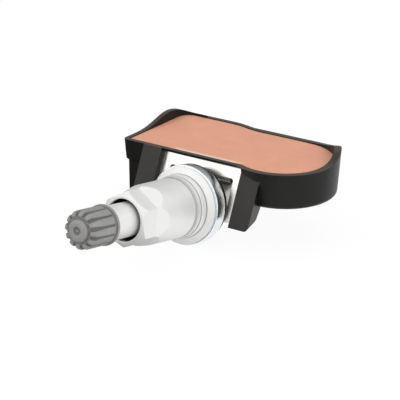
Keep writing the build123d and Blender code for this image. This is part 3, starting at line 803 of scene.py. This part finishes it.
def mill_flats(bm):
    """Mills the nut's flats, each with a sloped run-out into the barrel, and returns the result."""
    outer = 2 * nut_barrel_front
    front = nut_front + mill_clearance
    rise = 2 * (nut_barrel_front - nut_half_flats)
    back = nut_flat_end - rise / math.tan(nut_runout)
    corners = [
        (nut_half_flats, front), (nut_half_flats, nut_flat_end), (nut_half_flats + rise, back),
        (outer, back), (outer, front)]
    for flat in range(nut_flats):
        wedge = bmesh.new()
        face = wedge.faces.new([wedge.verts.new((x, -outer, z)) for x, z in corners])
        block = bmesh.ops.extrude_face_region(wedge, geom=[face])["geom"]
        bmesh.ops.translate(wedge, vec=(0, 2 * outer, 0),
                            verts=[item for item in block if isinstance(item, bmesh.types.BMVert)])
        bmesh.ops.recalc_face_normals(wedge, faces=wedge.faces[:])
        bmesh.ops.rotate(wedge, cent=(0, 0, 0), verts=wedge.verts[:],
                         matrix=Matrix.Rotation(math.radians(360 / nut_flats * flat), 3, "Z"))
        bm = combine(bm, wedge)
    return bm


def paint_bore_shade(bm):
    """Paints shade into the nut's bore, near black, and into its ring grooves."""
    bore = bm.verts.layers.float.new("bore")
    grooves = (nut_ring_start, nut_ring_end, nut_step_end + nut_groove_lead / 2)
    for vertex in bm.verts:
        if vertex.co.xy.length < nut_mouth + nut_bore_margin and vertex.co.z < nut_front - nut_bore_margin:
            vertex[bore] = 1.0
        elif min(abs(vertex.co.z - groove) for groove in grooves) < nut_groove_shade_reach:
            vertex[bore] = nut_groove_shade


def make_nut():
    """The collar nut with its milled flats and an inner thread."""
    bm = mill_flats(nut_blank())
    thread(bm, nut_thread_root, nut_thread_crest, nut_back, nut_front - nut_mouth_depth, collar_pitch)
    paint_bore_shade(bm)
    valve_piece(bm, "hex_collar_nut", "nut", "aluminium", "collar_nut")


def make_stem():
    """The valve stem: threaded collar, plain barrel, cap thread, and the barrel foot it swivels on."""
    bm = turned([
        (0, pivot_station), (stem_neck, pivot_station), (stem_neck, stem_shoulder_back, stem_neck_edge),
        (stem_shoulder, stem_shoulder_back, stem_shoulder_edge), (stem_shoulder, stem_shoulder_front),
        (collar_crest, stem_shoulder_front),
        (collar_crest, collar_thread_start - collar_thread_lead, stem_fine_edge),
        (collar_root, collar_thread_start), (collar_root, collar_thread_end),
        (stem_barrel, collar_thread_end + collar_thread_runout, stem_fine_edge),
        (stem_barrel, mouth_thread_start - mouth_thread_lead, mouth_thread_lead_edge),
        (mouth_root, mouth_thread_start), (mouth_root, stem_mouth, stem_mouth_edge),
        (stem_core_bore, stem_mouth, stem_fine_edge), (stem_core_bore, stem_core_bore_end),
        (0, stem_core_bore_end)])
    foot = bar(foot_radius, foot_width, across(pivot_station), turn_steps)
    soften(foot, foot_edge)
    bm = combine(bm, foot, "UNION")
    bm = combine(bm, bar(cross_hole_radius, drill_length, across(cross_hole_station), drill_steps))
    screw_place = Matrix.Translation((0, 0, pivot_station - foot_radius))
    bm = combine(bm, bar(screw_radius, drill_length, screw_place, drill_steps))
    thread(bm, collar_root, collar_crest, collar_thread_start, collar_thread_end, collar_pitch)
    thread(bm, mouth_root, mouth_crest, mouth_thread_start, mouth_thread_end, cap_pitch)
    valve_piece(bm, "threaded_stem", "stem", "aluminium", "valve_stem")


def cap_blank():
    """The cap without its ribs: an open skirt with a thin flange, and a domed boss with a dimple."""
    flange_end = cap_base + cap_flange_length
    boss_foot = cap_crown - cap_boss_sink
    dimple_floor = cap_top - cap_dimple_depth
    stations = [rib_lead * step / rib_lead_steps for step in range(rib_lead_steps + 1)]
    stations += [rib_length * step / rib_length_steps for step in range(1, rib_length_steps)]
    skirt = [
        (0, cap_ceiling), (cap_thread_root, cap_ceiling), (cap_thread_root, cap_base, cap_sharp_edge),
        (cap_flange, cap_base, cap_edge), (cap_flange, flange_end, cap_edge), (cap_body, flange_end)]
    side = [(cap_body + cap_taper * station, rib_start + station) for station in stations]
    face = [
        (cap_body_front, cap_shoulder, cap_shoulder_edge),
        (cap_face_outer, cap_crown - cap_face_outer_drop, cap_face_edge),
        (cap_face_inner, cap_crown - cap_face_inner_drop)]
    boss = [
        (cap_boss + cap_boss_groove, boss_foot, cap_boss_foot_edge),
        (cap_boss, boss_foot + cap_boss_rise, cap_fine_edge),
        (cap_boss - cap_boss_draft, cap_top - cap_boss_shoulder, cap_edge),
        (cap_boss - cap_dome_inset, cap_top - cap_dome_drop, cap_dome_edge)]
    dimple = [
        (cap_dimple + cap_dimple_slope, cap_top, cap_fine_edge),
        (cap_dimple, cap_top - cap_dimple_lip, cap_dimple_edge),
        (cap_dimple - cap_dimple_slope, dimple_floor, cap_fine_edge), (cap_nib, dimple_floor, cap_fine_edge),
        (cap_nib_top, cap_top - cap_nib_shoulder, cap_sharp_edge), (0, cap_top - cap_nib_depth)]
    return turned(skirt + side + face + boss + dimple, cap_steps)


def raise_ribs(bm):
    """Raises the cap's ribs along its side and over its end, and paints shade into its cavities."""
    bm.normal_update()
    cavity = bm.verts.layers.float.new("cavity")
    lifted = []
    for vertex in bm.verts:
        radius = vertex.co.xy.length
        climb = vertex.co.z - rib_start
        at_end = vertex.co.z > cap_crown - cap_end_shade_depth
        # painted shade on the end, round the boss's foot and in the dimple
        if at_end and any(inner < radius < outer for inner, outer in cap_shade_bands):
            vertex[cavity] = cap_end_shade
        lead = min(1, climb / rib_lead, (radius - rib_inner) / rib_lead)
        inside = radius < cap_thread_root + cap_bore_margin and vertex.co.z < cap_ceiling + cap_bore_margin
        if lead <= 0 or inside:
            continue
        along = min(1, climb / rib_length)
        share = rib_share_back + (rib_share_front - rib_share_back) * along ** rib_share_power
        # Round the cap in rib pitches, and off a rib's middle as a share of its half width
        turn = math.atan2(vertex.co.y, vertex.co.x) * rib_count / (2 * math.pi)
        off = abs((turn + 0.5) % 1 - 0.5) * 2 / share
        rise = math.sqrt(max(0, 1 - off ** rib_section_power) * lead)
        # painted shade in the valleys between the ribs
        vertex[cavity] = 1 - rise
        if rise:
            stand = rib_top - cap_body - cap_taper * rib_length * along
            lifted.append((vertex, vertex.normal * stand * rise))
    for vertex, lift in lifted:
        vertex.co += lift


def make_cap():
    """The valve cap, with ribs that turn in over its end and a thread inside."""
    bm = cap_blank()
    raise_ribs(bm)
    thread(bm, cap_thread_root, cap_bore, cap_base + cap_thread_margin,
           cap_ceiling - cap_thread_margin, cap_pitch)
    valve_piece(bm, "ribbed_cap", "cap", "grey_plastic", "valve_cap", fine_crease)


def make_spring():
    """The core's spring, copied from its CAD node onto a mesh of its own."""
    bm = cad_copy("core_spring")
    spring = piece(bm, "return_spring", "stem", "screw_steel", "core_spring", fine_crease)
    tuple(spring_seat * MM * valve_axis)
    1 - pin_travel / (spring_end - spring_seat)
    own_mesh(spring)


# Pieces of the sensor body

def make_housing():
    """The moulded tub with its edges broken."""
    bm = cad_copy("housing")
    soften(bm, moulded_edge * MM)
    body_piece(bm, "moulded_tub", "black_plastic", "housing")


def make_bracket():
    """The nickel-plated pressing with its edges broken."""
    bm = cad_copy("bracket")
    soften(bm, pressed_edge * MM)
    body_piece(bm, "pressed_bracket", "nickel", "bracket")


def make_potting():
    """The poured resin, which climbs a little against the front lip, where a highlight is painted."""
    bm = cad_copy("potting")
    low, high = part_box("potting")
    middle = (low.y + high.y) / 2

    def on_top(vertex):
        return abs(vertex.co.z - high.z) < touch

    border = [edge for edge in bm.edges
              if all(on_top(vertex) and vertex.co.y < middle for vertex in edge.verts)]
    lip = max(border, key=lambda edge: edge.calc_length()).verts[0].co.y
    start, end = (station * MM for station in meniscus_reach)
    fade = meniscus_fade * MM
    planes = [((0, lip + meniscus_width * MM, 0), (0, 1, 0))]
    planes += [((x, 0, 0), (1, 0, 0)) for x in (start, start + fade, end - fade, end)]
    for spot, normal in planes:
        bmesh.ops.bisect_plane(bm, geom=bm.verts[:] + bm.edges[:] + bm.faces[:],
                               plane_co=spot, plane_no=normal)
    # the painted highlight along the front lip, where the resin climbs
    climb = bm.verts.layers.float.new("meniscus")
    for vertex in bm.verts:
        at_lip = on_top(vertex) and abs(vertex.co.y - lip) < touch
        if at_lip and start + fade - touch < vertex.co.x < end - fade + touch:
            vertex[climb] = 1.0
            vertex.co.z += meniscus_height * MM
    body_piece(bm, "resin_fill", "potting", "potting")


make_washer()
make_grommet()
make_nut()
make_stem()
make_cap()
make_spring()
make_housing()
make_bracket()
make_potting()

# CAD nodes that stay as they are, with their finish
kept_nodes = {
    "circuit_board": "board", "coin_cell": "cell_steel", "cell_tab_top": "nickel",
    "cell_tab_bottom": "nickel", "sensor_chip": "chip", "port_gasket": "rubber", "coil_core": "ferrite",
    "coil_winding": "copper", "antenna": "copper", "crystal": "cell_steel", "capacitors": "ceramic",
    "saddle_washer": "screw_steel", "clamp_screw": "screw_steel", "core_body": "brass",
    "core_gasket": "rubber", "core_pin": "brass", "plunger_seal": "rubber", "cap_seal": "rubber",
}
for node, slot in kept_nodes.items():
    for holder in nodes[node].material_slots:
        holder.material = finishes[slot]


# Stage, light and camera

def seen(shop):
    """One for rays that should find a white surround: camera, mirror and glass rays."""
    return 1 - math.prod(1 - shop.ray(kind) for kind in white_rays)


def make_floor():
    """A pale floor that stays near white and keeps the shadow."""
    bm = bmesh.new()
    bmesh.ops.create_grid(bm, x_segments=1, y_segments=1, size=floor_size)
    bmesh.ops.translate(bm, vec=(0, 0, cad_low.z), verts=bm.verts[:])
    floor = add_object("floor", meshed(bm, "floor"))
    material, shop = new_material("floor_paper")
    paper = shop.node("ShaderNodeBsdfDiffuse", {}, {"Color": floor_colour})
    shade = shop.ramp(shop.towards(shop.place(), floor_shade_slope), *floor_shade_stops)
    tone = shop.between((1, 1, 1), floor_shaded, shop.ray("Is Glossy Ray") * shade)
    glow = shop.node("ShaderNodeEmission", {}, {"Color": tone, "Strength": floor_glow})
    surface = shop.node("ShaderNodeMixShader", {}, {"Fac": floor_glow_share * seen(shop), 1: paper, 2: glow})
    shop.node("ShaderNodeOutputMaterial", {}, {"Surface": surface})
    floor.data.materials.append(material)


def light_world():
    """A white surround that casts less light, and in mirrors is greyer at the back and brighter in front."""
    world = bpy.data.worlds.new("studio")
    world.use_nodes = True
    scene.world = world
    shop = Shop(world.node_tree)
    cast = shop.node("ShaderNodeBackground", {}, {"Color": (1, 1, 1, 1), "Strength": ambient})
    direction = shop.node("ShaderNodeTexCoord", output="Generated")
    grey = shop.ramp(shop.towards(direction, grey_wall), *grey_wall_stops)
    white = shop.ramp(shop.towards(direction, white_wall), *white_wall_stops)
    walls = shop.between(grey + white_wall_gain * white, (1, 1, 1), shop.ray("Is Camera Ray"))
    shown = shop.node("ShaderNodeBackground", {}, {"Color": walls})
    surface = shop.node("ShaderNodeMixShader", {}, {"Fac": seen(shop), 1: cast, 2: shown})
    shop.node("ShaderNodeOutputWorld", {}, {"Surface": surface})


def softbox(name, place, size, energy):
    """A square lamp that faces the sensor and stays out of its mirrors."""
    lamp = bpy.data.lights.new(name, "AREA")
    lamp.size = size
    lamp.energy = energy
    box = add_object(name, lamp)
    box.location = place
    box.rotation_euler = (-Vector(place)).to_track_quat("-Z", "Y").to_euler()
    box.visible_glossy = False


def set_camera():
    """The camera at the photograph's angle."""
    camera = bpy.data.cameras.new("camera")
    camera.lens = camera_lens
    camera.sensor_width = camera_sensor
    holder = add_object("camera", camera)
    camera_back = camera_right.cross(camera_up)
    turn = Matrix((camera_right, camera_up, camera_back)).transposed().to_4x4()
    holder.matrix_world = Matrix.Translation(camera_place) @ turn
    scene.camera = holder


make_floor()
light_world()
softbox("top_softbox", place=(-0.15, -0.1, 0.9), size=1.4, energy=3.6)
softbox("left_softbox", place=(-0.5, -0.7, 0.45), size=0.6, energy=1.4)
softbox("right_softbox", place=(0.75, -0.1, 0.4), size=0.6, energy=2.6)
set_camera()
scene.view_settings.view_transform = "Standard"
